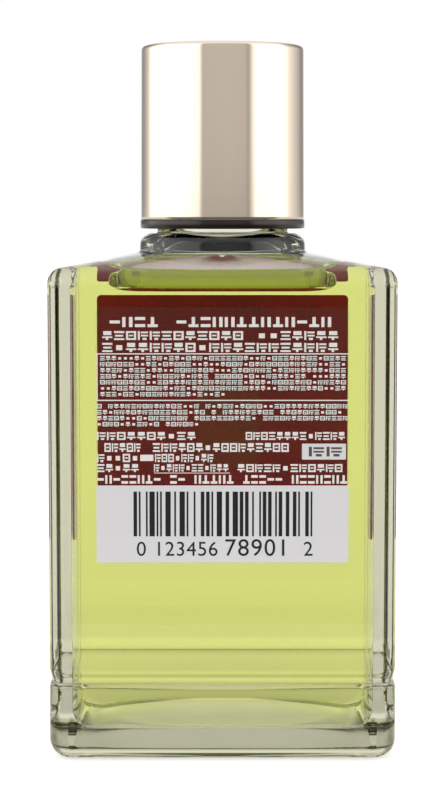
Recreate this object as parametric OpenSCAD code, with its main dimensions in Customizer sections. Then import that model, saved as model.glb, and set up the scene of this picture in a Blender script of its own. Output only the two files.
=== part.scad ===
// Square-shouldered glass aftershave bottle with a pour plug and a screw cap in a metal shell.
// Millimetres, +Z up. The origin is the middle of the standing plane; the front label faces +Y.

/* [Flask body] */
// Width across the straight sides
flask_w = 61.6; // [54:0.1:72]
// Depth from front face to back face
flask_d = 44; // [40:0.1:54]
// Height at which the straight sides end
side_h = 84.5; // [72:0.1:100]
// Plan radius of the four upright edges
edge_r = 4; // [3.5:0.1:6]
// Radius of the heel, between the sides and the standing ring
heel_r = 3.4; // [2:0.1:4.4]
// Radius of the shoulder edge, at the top of the sides
shoulder_r = 2.8; // [2:0.1:3.4]
// Rise of the shoulder from its edge to the foot of the pedestal
shoulder_rise = 2.4; // [1:0.1:4]
// Width of the flat ring that the flask stands on
stand_w = 2.6; // [2:0.1:5]
// Height of the hollow moulded into the underside
punt_h = 0.8; // [0.5:0.1:2.6]

/* [Groove round the flask] */
// Height of the groove's middle
groove_z = 14.5; // [10:0.1:24]
// Height of the groove from lip to lip
groove_h = 4; // [1.6:0.1:5]
// Depth of the groove at its middle
groove_depth = 0.38; // [0.1:0.02:0.8]

/* [Pedestal and neck] */
// Diameter of the round pedestal under the cap
pedestal_d = 30.3; // [28:0.1:32]
// Height of the pedestal
pedestal_h = 3.5; // [2.4:0.1:6]
// Rounding of the pedestal's top edge
pedestal_r = 2.2; // [0.6:0.1:2.4]
// Fillet where the pedestal grows out of the shoulder
foot_fillet = 0.9; // [0.4:0.1:1.1]
// Diameter of the neck at the root of its thread
neck_d = 21.6; // [20.8:0.1:22.4]
// Height of the neck from pedestal to mouth
neck_h = 13.2; // [11.5:0.1:18]
// How far the thread and the bead stand out from the neck
thread_depth = 1.15; // [0.8:0.05:1.3]
// Height of the bead at the neck's root
bead_h = 1.6; // [1:0.1:2.4]
// Diameter of the neck's bore
bore_d = 17.4; // [15:0.1:18]
// Rounding of the mouth's outer edge
mouth_r = 0.8; // [0.4:0.1:1]

/* [Cavity] */
// Thickness of the glass at the sides, front and back
wall_t = 4; // [3:0.1:5]
// Plan radius of the cavity's upright corners
cavity_edge_r = 1.8; // [1:0.1:5]
// Height of the cavity's floor at its rim
floor_z = 4.8; // [3.6:0.1:10]
// Rise of the floor's dome from rim to middle
floor_rise = 0.6; // [0.2:0.1:4]
// Radius between the cavity's floor and its walls
floor_r = 1.2; // [0.8:0.1:4.2]
// Thickness of the glass over the cavity at the shoulder's edge
shoulder_t = 1.4; // [1:0.1:3.6]
// Radius between the cavity's walls and its ceiling
ceiling_r = 1.3; // [0.8:0.1:2]
// Distance from the front and back walls to the foot of the funnel under the neck
funnel_inset = 1; // [0.6:0.1:4]
// Height of the glass from the top of the funnel to the top of the pedestal
throat_t = 1.5; // [0.8:0.1:3.6]
// Fillet where the funnel turns into the bore
throat_fillet = 1; // [0.6:0.1:2]

/* [Lotion] */
// Depth of the lotion's surface under the foot of the pedestal
headspace = 6.8; // [5.4:0.1:30]

/* [Pour plug] */
// Thickness of the plug's flange on the mouth
plug_flange_t = 1; // [0.6:0.1:1.6]
// How far the flange stops short of the mouth's edge
plug_flange_inset = 0.5; // [0.3:0.1:1]
// Length of the plug's barrel in the bore
plug_l = 8.4; // [6.5:0.1:10]
// Thickness of the barrel's wall
plug_wall = 1; // [0.7:0.1:1.4]
// Gap between the barrel and the bore
plug_gap = 0.15; // [0.1:0.05:0.3]
// Diameter of the pouring hole
orifice_d = 6; // [2:0.1:7]
// Depth of the plug's floor under the flange's top
plug_recess = 3; // [2:0.1:5]
// Thickness of the plug's floor
plug_floor_t = 0.9; // [0.6:0.1:1.2]
// Wall of the spout round the pouring hole
spout_wall = 0.8; // [0.6:0.1:1.2]
// Distance of the spout's rim under the flange's top
spout_drop = 0.4; // [0.3:0.1:1]

/* [Cap seal] */
// Thickness of the foamed sealing disc
seal_t = 1.2; // [0.8:0.1:2]
// Gap between the disc and the sleeve round it
seal_gap = 0.3; // [0.2:0.05:0.6]

/* [Inner cap] */
// Gap between the pedestal and the inner cap's flange
cap_gap = 0.8; // [0.5:0.1:1.5]
// How far the flange under the shell stands out past it
flange_lip = 0.1; // [0:0.05:1]
// Thickness of that flange
flange_t = 1.6; // [1:0.1:2.4]
// Running gap between the neck's thread and the sleeve
thread_gap = 0.4; // [0.3:0.05:0.45]
// Thickness of the plate over the seal
plate_t = 1.5; // [1:0.1:2.4]
// Wall of the crown over the plate
crown_wall = 1.3; // [1:0.1:2]
// Chamfer of the crown's top edge, inside the shell's rounding
crown_edge = 0.4; // [0.3:0.05:0.8]
// Number of webs that brace the crown
web_count = 6; // [3:1:8]
// Thickness of each web
web_t = 1; // [0.7:0.1:1.4]

/* [Cap shell] */
// Outside diameter of the shell at its open end
shell_d = 29.9; // [28.6:0.1:32]
// Height of the shell
shell_h = 31.4; // [26:0.1:40]
// How much narrower the shell's radius is at its top
shell_draft = 0.14; // [0:0.02:0.3]
// Thickness of the shell's sheet
shell_t = 0.5; // [0.3:0.05:0.6]
// Rounding of the shell's top edge
shell_r = 0.75; // [0.6:0.05:1.5]
// Glue gap between the shell and the inner cap
glue_gap = 0.1; // [0.05:0.05:0.2]

/* [Labels] */
// Width of the front label
label_w = 47.4; // [30:0.1:48]
// Height of the front label
label_h = 46.6; // [30:0.1:54]
// Distance from the front label's top to the end of the straight sides
label_drop = 3.1; // [1:0.1:6]
// Width of the clear label on the back
film_w = 44.2; // [30:0.1:47]
// Height of the clear label on the back
film_h = 44.8; // [30:0.1:53]
// Distance from the clear label's top to the end of the straight sides
film_drop = 4.1; // [1:0.1:6]
// Thickness of each label
label_t = 0.12; // [0.08:0.01:0.2]
// Corner radius of the labels
label_r = 0.8; // [0.4:0.1:3]

/* [Hidden] */
$fn = 96;

// Points on each rounded corner of a section, and steps along each rounding in height
corner_n = 8;
arc_n = 5;
groove_n = 6;
// Overlap that makes unions and cuts pass through each other
lap = 1;
// How far a skinned form stops inside the turned form that it runs into
seam = 0.15;

// Heights that stack up from the standing plane
shoulder_z = side_h + shoulder_r;
foot_z = shoulder_z + shoulder_rise;
pedestal_z = foot_z + pedestal_h;
mouth_z = pedestal_z + neck_h;
plug_top_z = mouth_z + plug_flange_t;
seal_top_z = plug_top_z + seal_t;
plate_top_z = seal_top_z + plate_t;
flange_z = pedestal_z + cap_gap;
shell_z = flange_z + flange_t;
crown_z = shell_z + shell_h - shell_t;
lotion_z = foot_z - headspace;

// Half sizes of the flask and of its cavity
flask_half = [flask_w / 2, flask_d / 2];
cavity_half = [flask_w / 2 - wall_t, flask_d / 2 - wall_t];
ceiling_z = shoulder_z - shoulder_t;
throat_z = pedestal_z - throat_t;
fillet_z = foot_z - 0.2;

// Radii that mating pieces share
neck_r = neck_d / 2;
bead_r = neck_r + thread_depth;
bore_r = bore_d / 2;
sleeve_r = bead_r + thread_gap;
shell_bore_r = shell_d / 2 - shell_t;
core_r = shell_bore_r - glue_gap;
flange_r = shell_d / 2 + flange_lip;
plug_r = bore_r - plug_gap;
fillet_r = pedestal_d / 2 + foot_fillet;
// The rounding leaves the pedestal's side room for the fillet at its foot
pedestal_edge_r = min(pedestal_r, pedestal_z - fillet_z - foot_fillet);
funnel_r = cavity_half[1] - funnel_inset;

// Slope of the funnel, and the lower end of the fillet that leads from it into the bore
funnel_slope = atan2(throat_z - ceiling_z, funnel_r - bore_r);
throat_turn = 90 - funnel_slope;
throat_centre_z = throat_z + throat_fillet * tan(throat_turn / 2);
throat_r = bore_r + throat_fillet * (1 - cos(throat_turn));
throat_end_z = throat_centre_z - throat_fillet * sin(throat_turn);

// One corner's points, as unit vectors, and the quadrant that the corner lies in
function corner_angles(k) = [for (i = [0:corner_n - 1]) 90 * k + 90 * i / (corner_n - 1)];
function quadrant(k) = [k == 0 || k == 3 ? 1 : -1, k < 2 ? 1 : -1];

// A rounded rectangle of half sizes h and corner radius r, as a ring of points at height z
function box_ring(h, r, z) = [
  for (k = [0:3])
    for (a = corner_angles(k))
      [quadrant(k)[0] * (h[0] - r) + r * cos(a), quadrant(k)[1] * (h[1] - r) + r * sin(a), z]
];

// A circle with as many points as a box ring has, turned so that the two join without twist
function round_ring(r, z) = [
  for (i = [0:4 * corner_n - 1])
    let (a = (i + 0.5) * 360 / (4 * corner_n))
      [r * cos(a), r * sin(a), z]
];

// The ring a share f of the way from ring p to ring q
function blend(p, q, f) = [for (i = [0:len(p) - 1]) p[i] * (1 - f) + q[i] * f];

// A box ring of half sizes h and radius r that is moved inwards by inset
function inset_ring(h, r, inset, z) =
  box_ring([h[0] - inset, h[1] - inset], max(r - inset, 0.4), z);

// Angle through which a rounding of radius r turns before it runs straight on to a point
// that lies run inwards and rise upwards from the rounding's centre
function turn_to(run, rise, r) = atan2(run, rise) + asin(r / norm([run, rise]));

// The turns of a rounding on top of a box of half sizes h: at its sides, and at its front and back
function edge_turns(h, r, to_r, rise) = [for (i = [0, 1]) turn_to(h[i] - r - to_r, rise, r)];

// The ring a share f of the way up that rounding, which starts at height z
function turned_ring(h, edge, r, turns, f, z) = [
  for (k = [0:3])
    for (a = corner_angles(k))
      let (
        t = f * (turns[0] * pow(cos(a), 2) + turns[1] * pow(sin(a), 2)),
        inset = r * (1 - cos(t)),
        corner = max(edge - inset, 0.4),
        middle = [h[0] - inset - corner, h[1] - inset - corner]
      )
      [quadrant(k)[0] * middle[0] + corner * cos(a), quadrant(k)[1] * middle[1] + corner * sin(a),
        z + r * sin(t)]
];

// A solid skinned over a stack of rings that all have the same number of points
module loft(rings) {
  n = len(rings[0]);
  last = len(rings) - 1;
  points = [for (ring = rings) each ring];
  sides = [
    for (j = [0:last - 1])
      for (i = [0:n - 1])
        let (a = j * n + i, b = j * n + (i + 1) % n)
          each [[a, a + n, b], [b, a + n, b + n]]
  ];
  bottom = [for (i = [0:n - 1]) i];
  top = [for (i = [n - 1:-1:0]) last * n + i];
  polyhedron(points = points, faces = concat([bottom, top], sides));
}

// Rings of the flask's outside: hollow underside, heel, groove, sides, shoulder and pedestal foot
function flask_rings() =
  let (
    stand_in = heel_r + stand_w,
    hollow = [flask_half[0] - stand_in, flask_half[1] - stand_in],
    turns = edge_turns(flask_half, shoulder_r, fillet_r, fillet_z - side_h),
    edge = turned_ring(flask_half, edge_r, shoulder_r, turns, 1, side_h),
    foot = round_ring(fillet_r - seam, fillet_z)
  )
  concat(
    [for (s = [0.2, 0.5, 0.75, 0.9]) box_ring(hollow * s, edge_r * s, punt_h * (1 - pow(s, 4)))],
    [box_ring(hollow, edge_r, 0)],
    [for (i = [0:arc_n])
      let (a = 90 * i / arc_n)
        inset_ring(flask_half, edge_r, heel_r * (1 - sin(a)), heel_r * (1 - cos(a)))],
    [for (i = [0:groove_n])
      let (u = i / groove_n - 0.5)
        inset_ring(flask_half, edge_r, groove_depth * (1 + cos(360 * u)) / 2, groove_z + u * groove_h)],
    [for (i = [0:arc_n]) turned_ring(flask_half, edge_r, shoulder_r, turns, i / arc_n, side_h)],
    [for (f = [0.35, 0.7, 1]) blend(edge, foot, f)]
  );

// Rings of the cavity: domed floor, floor rounding, walls, ceiling and the funnel under the neck
function cavity_rings() =
  let (
    rim = [cavity_half[0] - floor_r, cavity_half[1] - floor_r],
    rim_r = max(cavity_edge_r - floor_r, 0.4),
    turns = edge_turns(cavity_half, ceiling_r, funnel_r, ceiling_r),
    funnel = round_ring(funnel_r, ceiling_z),
    throat = round_ring(throat_r - seam, throat_end_z)
  )
  concat(
    [for (s = [0.2, 0.5, 0.8])
      box_ring(rim * s, rim_r * s + rim[1] * s * (1 - s), floor_z + floor_rise * (1 - s * s))],
    [for (i = [0:arc_n])
      let (a = 90 * i / arc_n)
        inset_ring(cavity_half, cavity_edge_r, floor_r * (1 - sin(a)), floor_z + floor_r * (1 - cos(a)))],
    [for (i = [0:arc_n])
      turned_ring(cavity_half, cavity_edge_r, ceiling_r, turns, i / arc_n, ceiling_z - ceiling_r)],
    [for (f = [0, 0.5, 1]) blend(funnel, throat, f)]
  );

// Points on an arc of radius r about [x, z], from angle a to angle b
function arc(x, z, r, a, b, n = 6) = [
  for (i = [0:n]) [x + r * cos(a + (b - a) * i / n), z + r * sin(a + (b - a) * i / n)]
];

// The glass as moulded, before its inside is taken out
module flask_outside() {
  loft(flask_rings());
  // Pedestal, bead and neck are turned on one axis
  rotate_extrude() polygon(concat(
    [[0, fillet_z - lap], [fillet_r, fillet_z - lap]],
    arc(fillet_r, fillet_z + foot_fillet, foot_fillet, 270, 180),
    arc(pedestal_d / 2 - pedestal_edge_r, pedestal_z - pedestal_edge_r, pedestal_edge_r, 0, 90),
    [[bead_r, pedestal_z], [bead_r, pedestal_z + bead_h - thread_depth / 2]],
    [[neck_r, pedestal_z + bead_h]],
    arc(neck_r - mouth_r, mouth_z - mouth_r, mouth_r, 0, 90),
    [[0, mouth_z]]
  ));
}

// The space that holds the lotion and the air over it
module cavity() {
  loft(cavity_rings());
  // The end of the funnel and the bore are turned on one axis, and run out through the mouth
  rotate_extrude() polygon(concat(
    [[0, throat_end_z - lap], [throat_r, throat_end_z - lap]],
    arc(bore_r + throat_fillet, throat_centre_z, throat_fillet, 180 + throat_turn, 180),
    [[bore_r, mouth_z + lap], [0, mouth_z + lap]]
  ));
}

module bottle_glass() {
  color([0.86, 0.9, 0.86, 0.35]) difference() {
    flask_outside();
    cavity();
  }
}

module lotion() {
  color([0.84, 0.87, 0.42, 0.6]) intersection() {
    cavity();
    translate([-flask_w / 2, -flask_d / 2, 0]) cube([flask_w, flask_d, lotion_z]);
  }
}

// A flanged cup pressed into the bore, with a spout round its pouring hole
module pour_plug() {
  barrel_z = mouth_z - plug_l;
  floor_top_z = plug_top_z - plug_recess;
  bead = plug_gap * 0.8;
  color("white") difference() {
    rotate_extrude() polygon(concat(
      [[0, floor_top_z - plug_floor_t], [plug_r - plug_wall, floor_top_z - plug_floor_t]],
      [[plug_r - plug_wall, barrel_z], [plug_r - 0.4, barrel_z], [plug_r, barrel_z + 0.8]],
      [for (z = [barrel_z + 1.6, barrel_z + 3.6], dz = [-0.4, 0, 0.4])
        [plug_r + (dz == 0 ? bead : 0), z + dz]],
      [[plug_r, mouth_z], [neck_r - mouth_r - plug_flange_inset + 0.3, mouth_z]],
      [[neck_r - mouth_r - plug_flange_inset + 0.3, plug_top_z - 0.3]],
      [[neck_r - mouth_r - plug_flange_inset, plug_top_z], [plug_r - plug_wall, plug_top_z]],
      [[plug_r - plug_wall, floor_top_z], [orifice_d / 2 + spout_wall + 0.3, floor_top_z]],
      [[orifice_d / 2 + spout_wall, plug_top_z - spout_drop], [0, plug_top_z - spout_drop]]
    ));
    translate([0, 0, barrel_z - lap]) cylinder(d = orifice_d, h = plug_l + plug_flange_t + 2 * lap);
  }
}

module cap_seal_disc() {
  color("gainsboro") translate([0, 0, plug_top_z]) cylinder(r = sleeve_r - seal_gap, h = seal_t);
}

// Threaded sleeve, plate and braced crown in one moulding, with the flange that carries the shell
module cap_inner() {
  crown_r = core_r - shell_draft;
  core_h = crown_z - shell_z;
  color([0.18, 0.1, 0.08]) {
    difference() {
      union() {
        translate([0, 0, flange_z]) rotate_extrude() polygon(concat(
          [[0, 0]],
          arc(flange_r - 0.3, 0.3, 0.3, -90, 0, 3),
          arc(flange_r - 0.2, flange_t - 0.2, 0.2, 0, 90, 3),
          [[0, flange_t]]
        ));
        translate([0, 0, shell_z]) rotate_extrude() polygon([
          [0, -0.01], [core_r, -0.01], [crown_r, core_h - crown_edge],
          [crown_r - crown_edge, core_h], [0, core_h]
        ]);
      }
      // Bore of the sleeve, with a lead-in at its mouth
      translate([0, 0, flange_z - lap]) cylinder(r = sleeve_r, h = seal_top_z - flange_z + lap);
      translate([0, 0, flange_z - 0.01]) cylinder(r1 = sleeve_r + 0.4, r2 = sleeve_r, h = 0.6);
      // Inside of the crown
      translate([0, 0, plate_top_z]) cylinder(r = crown_r - crown_wall, h = crown_z - plate_top_z + lap);
    }
    webs(crown_r - crown_wall / 2);
  }
}

// Upright webs across the crown, from the plate to the underside of the shell's top
module webs(reach) {
  intersection() {
    translate([0, 0, plate_top_z - plate_t / 2]) cylinder(r = reach, h = crown_z - plate_top_z + plate_t / 2);
    union() {
      for (i = [0:web_count - 1])
        rotate(360 * i / web_count)
          translate([0, -web_t / 2, plate_top_z - plate_t / 2])
            cube([reach + lap, web_t, crown_z - plate_top_z + plate_t / 2]);
    }
  }
}

// Drawn metal cup with a softly rounded top edge and a slight draft
module cap_shell() {
  r = shell_d / 2;
  top_r = r - shell_draft;
  inner_r = max(shell_r - shell_t, 0.1);
  color([0.8, 0.74, 0.64]) translate([0, 0, shell_z]) rotate_extrude() polygon(concat(
    [[r - shell_t, 0], [r, 0]],
    arc(top_r - shell_r, shell_h - shell_r, shell_r, 0, 90),
    [[0, shell_h], [0, shell_h - shell_t]],
    arc(top_r - shell_t - inner_r, shell_h - shell_t - inner_r, inner_r, 90, 0, 3)
  ));
}

// A sheet of width w and height h on the plane Y = y, growing outwards along side
module label(w, h, z, side) {
  y = side > 0 ? flask_d / 2 : -flask_d / 2 - label_t;
  translate([0, y + label_t, z + h / 2]) rotate([90, 0, 0]) linear_extrude(label_t) {
    square([w - 2 * label_r, h], center = true);
    square([w, h - 2 * label_r], center = true);
    for (sx = [-1, 1], sz = [-1, 1])
      translate([sx * (w / 2 - label_r), sz * (h / 2 - label_r)]) circle(label_r, $fn = 32);
  }
}

module front_label() {
  color([0.42, 0.09, 0.07]) label(label_w, label_h, side_h - label_drop - label_h, 1);
}

module back_label_film() {
  color([0.95, 0.95, 0.95, 0.4]) label(film_w, film_h, side_h - film_drop - film_h, -1);
}

bottle_glass();
lotion();
pour_plug();
cap_seal_disc();
cap_inner();
cap_shell();
front_label();
back_label_film();
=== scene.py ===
"""Clear glass aftershave bottle of yellow lotion, with a screw cap in a champagne metal shell.

Metres, +Z up. The front label faces +Y and the printed clear label faces -Y.
"""
import math

import bpy
import numpy as np
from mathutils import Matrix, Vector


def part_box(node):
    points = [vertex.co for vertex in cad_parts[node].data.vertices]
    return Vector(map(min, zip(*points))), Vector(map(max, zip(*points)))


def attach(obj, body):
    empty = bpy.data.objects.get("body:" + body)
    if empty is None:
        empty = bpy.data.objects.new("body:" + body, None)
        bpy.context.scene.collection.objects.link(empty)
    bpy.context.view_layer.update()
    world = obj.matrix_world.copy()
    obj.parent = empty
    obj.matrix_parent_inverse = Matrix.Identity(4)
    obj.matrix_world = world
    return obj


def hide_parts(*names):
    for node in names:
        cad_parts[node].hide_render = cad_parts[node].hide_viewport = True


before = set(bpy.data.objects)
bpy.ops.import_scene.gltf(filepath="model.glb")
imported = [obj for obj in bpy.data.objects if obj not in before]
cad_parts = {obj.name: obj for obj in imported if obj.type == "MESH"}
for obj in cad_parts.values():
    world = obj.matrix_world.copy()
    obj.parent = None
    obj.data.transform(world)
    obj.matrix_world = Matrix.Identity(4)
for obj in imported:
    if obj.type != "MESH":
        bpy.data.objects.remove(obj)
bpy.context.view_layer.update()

MM = 0.001


def node_box(node):
    """Lowest and highest corner of a CAD node, in millimetres."""
    low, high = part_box(node)
    return np.array(low) / MM, np.array(high) / MM


# ---------------------------------------------------------------- sizes, in millimetres
GLASS_HIGH = node_box("bottle_glass")[1]
CAVITY_HIGH = node_box("lotion")[1]
PLUG_LOW, PLUG_HIGH = node_box("pour_plug")
SEAL_LOW, SEAL_HIGH = node_box("cap_seal_disc")
INNER_LOW, INNER_HIGH = node_box("cap_inner")
SHELL_LOW, SHELL_HIGH = node_box("cap_shell")
FRONT_LOW, FRONT_HIGH = node_box("front_label")
FILM_LOW, FILM_HIGH = node_box("back_label_film")

# Flask, outside
FLASK_HALF = GLASS_HIGH[:2]
EDGE_R = 4.0
HEEL_R = 3.4
STAND_W = 2.6
PUNT_H = 0.8
SIDE_H = 84.5
SHOULDER_R = 2.8
# Groove: height of its deepest line, its reach above and below that, and its depth
GROOVE_DEEP_Z, GROOVE_UP, GROOVE_DOWN, GROOVE_DEPTH = 13.9, 2.6, 1.5, 0.5
FOOT_Z = 89.7
FOOT_FILLET = 0.9
PEDESTAL_R = 30.3 / 2
PEDESTAL_Z = 93.2
PEDESTAL_EDGE_R = 2.2
MOUTH_Z = GLASS_HIGH[2]
NECK_R = 10.8
THREAD_DEPTH = 1.15
THREAD_PITCH = 3.175
THREAD_TURNS = 1.6
BEAD_H = 1.6

# Flask, inside
CAVITY_HALF = CAVITY_HIGH[:2]
CAVITY_EDGE_R = 1.8
FLOOR_Z = 4.8
FLOOR_RISE = 2.6
FLOOR_R = 4.2
CEILING_Z = 85.9
CEILING_R = 1.3
SIDE_CEILING_TURN = 84
SIDE_CEILING_DROP = 1.0
SIDE_CEILING_SAG = 1.2
WALL_TOP_Z = CEILING_Z - CEILING_R - SIDE_CEILING_DROP - 0.2
FUNNEL_R = 17.0
THROAT_Z = 91.7
THROAT_FILLET = 1.0
BORE_R = 8.7

# Lotion: its level, how it falls away from the glass, and the plan of the air pocket above it
LEVEL_Z = CAVITY_HIGH[2]
MENISCUS_W = 1.6
POCKET_HALF = np.array([21.5, 17.6])
POCKET_R = 6.5

# Cap and plug
SHELL_R = SHELL_HIGH[0]
SHELL_H = SHELL_HIGH[2] - SHELL_LOW[2]
SHELL_DRAFT = 0.14
SHELL_T = 0.5
SHELL_EDGE_R = 0.75
FLANGE_R = INNER_HIGH[0]
SLEEVE_R = 12.35
CROWN_WALL = 1.3
PLATE_T = 1.5
CORE_R = SHELL_R - SHELL_T - 0.1
PLUG_R = 8.55

# Labels: each is glued on with a thin air line behind it, and its ink stands on its face
AIR = 0.02
INK = 0.03

# Index of refraction: glass, lotion, and glass against lotion, which is the first over the second
GLASS_IOR = 1.52
LOTION_IOR = 1.36
WETTED_IOR = 1.1176

# ---------------------------------------------------------------- mesh helpers


def new_piece(name, mesh, body, nodes=(), materials=()):
    """An object at the origin that rides on a body and may stand for CAD nodes."""
    piece = bpy.data.objects.new(name, mesh)
    bpy.context.scene.collection.objects.link(piece)
    for material in materials:
        mesh.materials.append(material)
    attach(piece, body)
    if nodes:
        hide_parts(*nodes)
    return piece


def build_mesh(name, points, faces, slots=None, smooth=True):
    """A mesh from points in millimetres and faces, with a material slot for each face."""
    mesh = bpy.data.meshes.new(name)
    mesh.from_pydata((np.asarray(points) * MM).tolist(), [], faces)
    if slots is not None:
        mesh.polygons.foreach_set("material_index", np.asarray(slots, dtype=np.int32))
    mesh.polygons.foreach_set("use_smooth", np.full(len(mesh.polygons), smooth))
    mesh.update()
    return mesh


def skin(name, rings, low_pole, high_pole):
    """A closed surface through rings of points, from one pole to the other.

    Quad (i, j) joins ring i to ring i + 1 between points j and j + 1, so with rings that run
    anticlockwise seen from above, the normal is (along the ring) x (along the profile).
    """
    rows, count = rings.shape[:2]
    points = np.vstack([rings.reshape(-1, 3), [low_pole], [high_pole]])
    i, j = np.meshgrid(np.arange(rows - 1), np.arange(count), indexing="ij")
    k = (j + 1) % count
    quads = np.stack([i * count + j, i * count + k, (i + 1) * count + k, (i + 1) * count + j], -1)
    around = np.arange(count)
    after = (around + 1) % count
    low, high = rows * count, rows * count + 1
    last = (rows - 1) * count
    fans = [[low, int(b), int(a)] for a, b in zip(around, after)]
    fans += [[high, int(last + a), int(last + b)] for a, b in zip(around, after)]
    return build_mesh(name, points, quads.reshape(-1, 4).tolist() + fans)


def turned(name, profile, segments=128):
    """A closed ring of revolution: (r cos a, r sin a, z) for each point (r, z) of a closed profile.

    The profile runs anticlockwise in the (r, z) plane.
    """
    profile = np.asarray(profile, dtype=float)
    a = np.arange(segments) * 2 * np.pi / segments
    r, z = np.broadcast_arrays(profile[:, :1], profile[:, 1:])
    r = np.repeat(r, segments, axis=1)
    z = np.repeat(z, segments, axis=1)
    points = np.stack([r * np.cos(a), r * np.sin(a), z], -1).reshape(-1, 3)
    rows = len(profile)
    i, j = np.meshgrid(np.arange(rows), np.arange(segments), indexing="ij")
    n, k = (i + 1) % rows, (j + 1) % segments
    quads = np.stack([i * segments + j, i * segments + k, n * segments + k, n * segments + j], -1)
    return build_mesh(name, points, quads.reshape(-1, 4).tolist())


def arc(x, z, radius, start, end, steps=8):
    """Points (x + radius cos t, z + radius sin t) for t from start to end, in degrees."""
    t = np.radians(np.linspace(start, end, steps + 1))
    return np.stack([x + radius * np.cos(t), z + radius * np.sin(t)], -1)


def chain(*parts):
    """Profile points and arcs joined into one array."""
    return np.vstack([np.atleast_2d(part) for part in parts])


# Corners of each face of a box, whose corner k is low or high on x, y and z by the bits of k
BOX_FACES = np.array([
    [0, 2, 3, 1], [4, 5, 7, 6], [0, 1, 5, 4], [2, 6, 7, 3], [0, 4, 6, 2], [1, 3, 7, 5],
])


def slabs(name, low, high, slots=None):
    """Axis-aligned slabs in one mesh: corner k of slab i is low or high on each axis by k's bits."""
    low, high = np.atleast_2d(low), np.atleast_2d(high)
    bits = np.array([[k & 1, k >> 1 & 1, k >> 2 & 1] for k in range(8)])
    points = np.where(bits[None], high[:, None], low[:, None]).reshape(-1, 3)
    faces = (BOX_FACES[None] + 8 * np.arange(len(low))[:, None, None]).reshape(-1, 4).tolist()
    return build_mesh(name, points, faces, slots, smooth=False)


# ---------------------------------------------------------------- rings of a rounded box

CORNER_STEPS = 14
LONG_STEPS = 18
SHORT_STEPS = 14
ROUND_FROM, ROUND_TO = 24, 66


def ring_basis():
    """Per ring point: its share of the straight sides, of the corner turn, and its round angle.

    A rounded box of half size h and radius r is then P = straight * (h - r) + turn * r. Points
    on a straight run stand at (1 - cos(pi k / n)) / 2, closer together towards the corners.
    """
    straight, turn, angle = [], [], []
    signs = [(1, 1), (-1, 1), (-1, -1), (1, -1)]
    for k, sign in enumerate(signs):
        turned_by = np.linspace(0, 90, CORNER_STEPS + 1)
        a = np.radians(90 * k + turned_by)
        straight.append(np.repeat([sign], len(a), axis=0))
        turn.append(np.stack([np.cos(a), np.sin(a)], -1))
        angle.append(90 * k + ROUND_FROM + (ROUND_TO - ROUND_FROM) * turned_by / 90)
        steps = LONG_STEPS if k % 2 == 0 else SHORT_STEPS
        t = (1 - np.cos(np.pi * np.arange(1, steps) / steps)) / 2
        follows = np.array(signs[(k + 1) % 4])
        straight.append(np.array(sign) * (1 - t[:, None]) + follows * t[:, None])
        turn.append(np.repeat([[math.cos(a[-1]), math.sin(a[-1])]], len(t), axis=0))
        angle.append(90 * k + ROUND_TO + (90 - ROUND_TO + ROUND_FROM) * t)
    return np.vstack(straight), np.vstack(turn), np.radians(np.concatenate(angle))


STRAIGHT, TURN, ANGLE = ring_basis()


def box_rings(half_x, half_y, radius, z):
    """Rounded-box rings, one for each value of the half sizes, corner radius and height."""
    half_x, half_y, radius, z = (
        v.reshape(-1, 1) for v in np.broadcast_arrays(*map(np.atleast_1d, (half_x, half_y, radius, z))))
    x = STRAIGHT[:, 0] * (half_x - radius) + TURN[:, 0] * radius
    y = STRAIGHT[:, 1] * (half_y - radius) + TURN[:, 1] * radius
    return np.stack([x, y, np.broadcast_to(z, x.shape)], -1)


def inset_rings(half, edge_r, inset, z):
    """Rounded-box rings whose corner radius shrinks as they move inwards."""
    inset = np.asarray(inset, float)
    return box_rings(half[0] - inset, half[1] - inset, np.maximum(edge_r - inset, 0.4), z)


def round_rings(profile):
    """Rings (r cos a, r sin a, z) for each point (r, z) of a profile."""
    r, z = np.atleast_2d(profile).T[..., None]
    return np.stack([r * np.cos(ANGLE), r * np.sin(ANGLE), np.broadcast_to(z, (len(z), len(ANGLE)))], -1)


def blend_rings(first, last, share):
    """Rings between two rings, at each share; a share may differ from point to point."""
    share = np.asarray(share, float)
    share = share[:, None, None] if share.ndim == 1 else share[..., None]
    return first * (1 - share) + last * share


def smooth_step(x):
    """3x^2 - 2x^3 on x held between 0 and 1."""
    x = np.clip(x, 0, 1)
    return x * x * (3 - 2 * x)


# ---------------------------------------------------------------- materials


def rgb(code):
    """Linear colour of an sRGB hex code: c / 12.92 up to 0.04045, else ((c + 0.055) / 1.055)^2.4."""
    c = np.array([int(code[i:i + 2], 16) for i in (1, 3, 5)]) / 255
    return (*np.where(c <= 0.04045, c / 12.92, ((c + 0.055) / 1.055) ** 2.4), 1.0)


def add_node(tree, kind, inputs=None, **settings):
    """A shader node of this kind; inputs are constants or sockets by name or index."""
    node = tree.nodes.new("ShaderNode" + kind)
    for name, value in settings.items():
        setattr(node, name, value)
    for name, value in (inputs or {}).items():
        if isinstance(value, bpy.types.NodeSocket):
            tree.links.new(value, node.inputs[name])
        else:
            node.inputs[name].default_value = value
    return node


def principled(name, **constants):
    """A material with one Principled shader whose sockets hold these constants."""
    material = bpy.data.materials.new(name)
    material.use_nodes = True
    shader = material.node_tree.nodes["Principled BSDF"]
    for socket, value in constants.items():
        shader.inputs[socket.replace("_", " ")].default_value = value
    return material, material.node_tree, shader


def noise(tree, scale_mm, detail=2.0, stretch=(1, 1, 1)):
    """Noise in object space whose cells are about scale_mm wide, drawn out along an axis by stretch."""
    place = add_node(tree, "TexCoord").outputs["Object"]
    spread = add_node(tree, "Mapping", {"Vector": place, "Scale": [1 / s for s in stretch]})
    return add_node(tree, "TexNoise", {
        "Vector": spread.outputs[0], "Scale": 1000 / scale_mm, "Detail": detail,
    }).outputs["Fac"]


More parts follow.
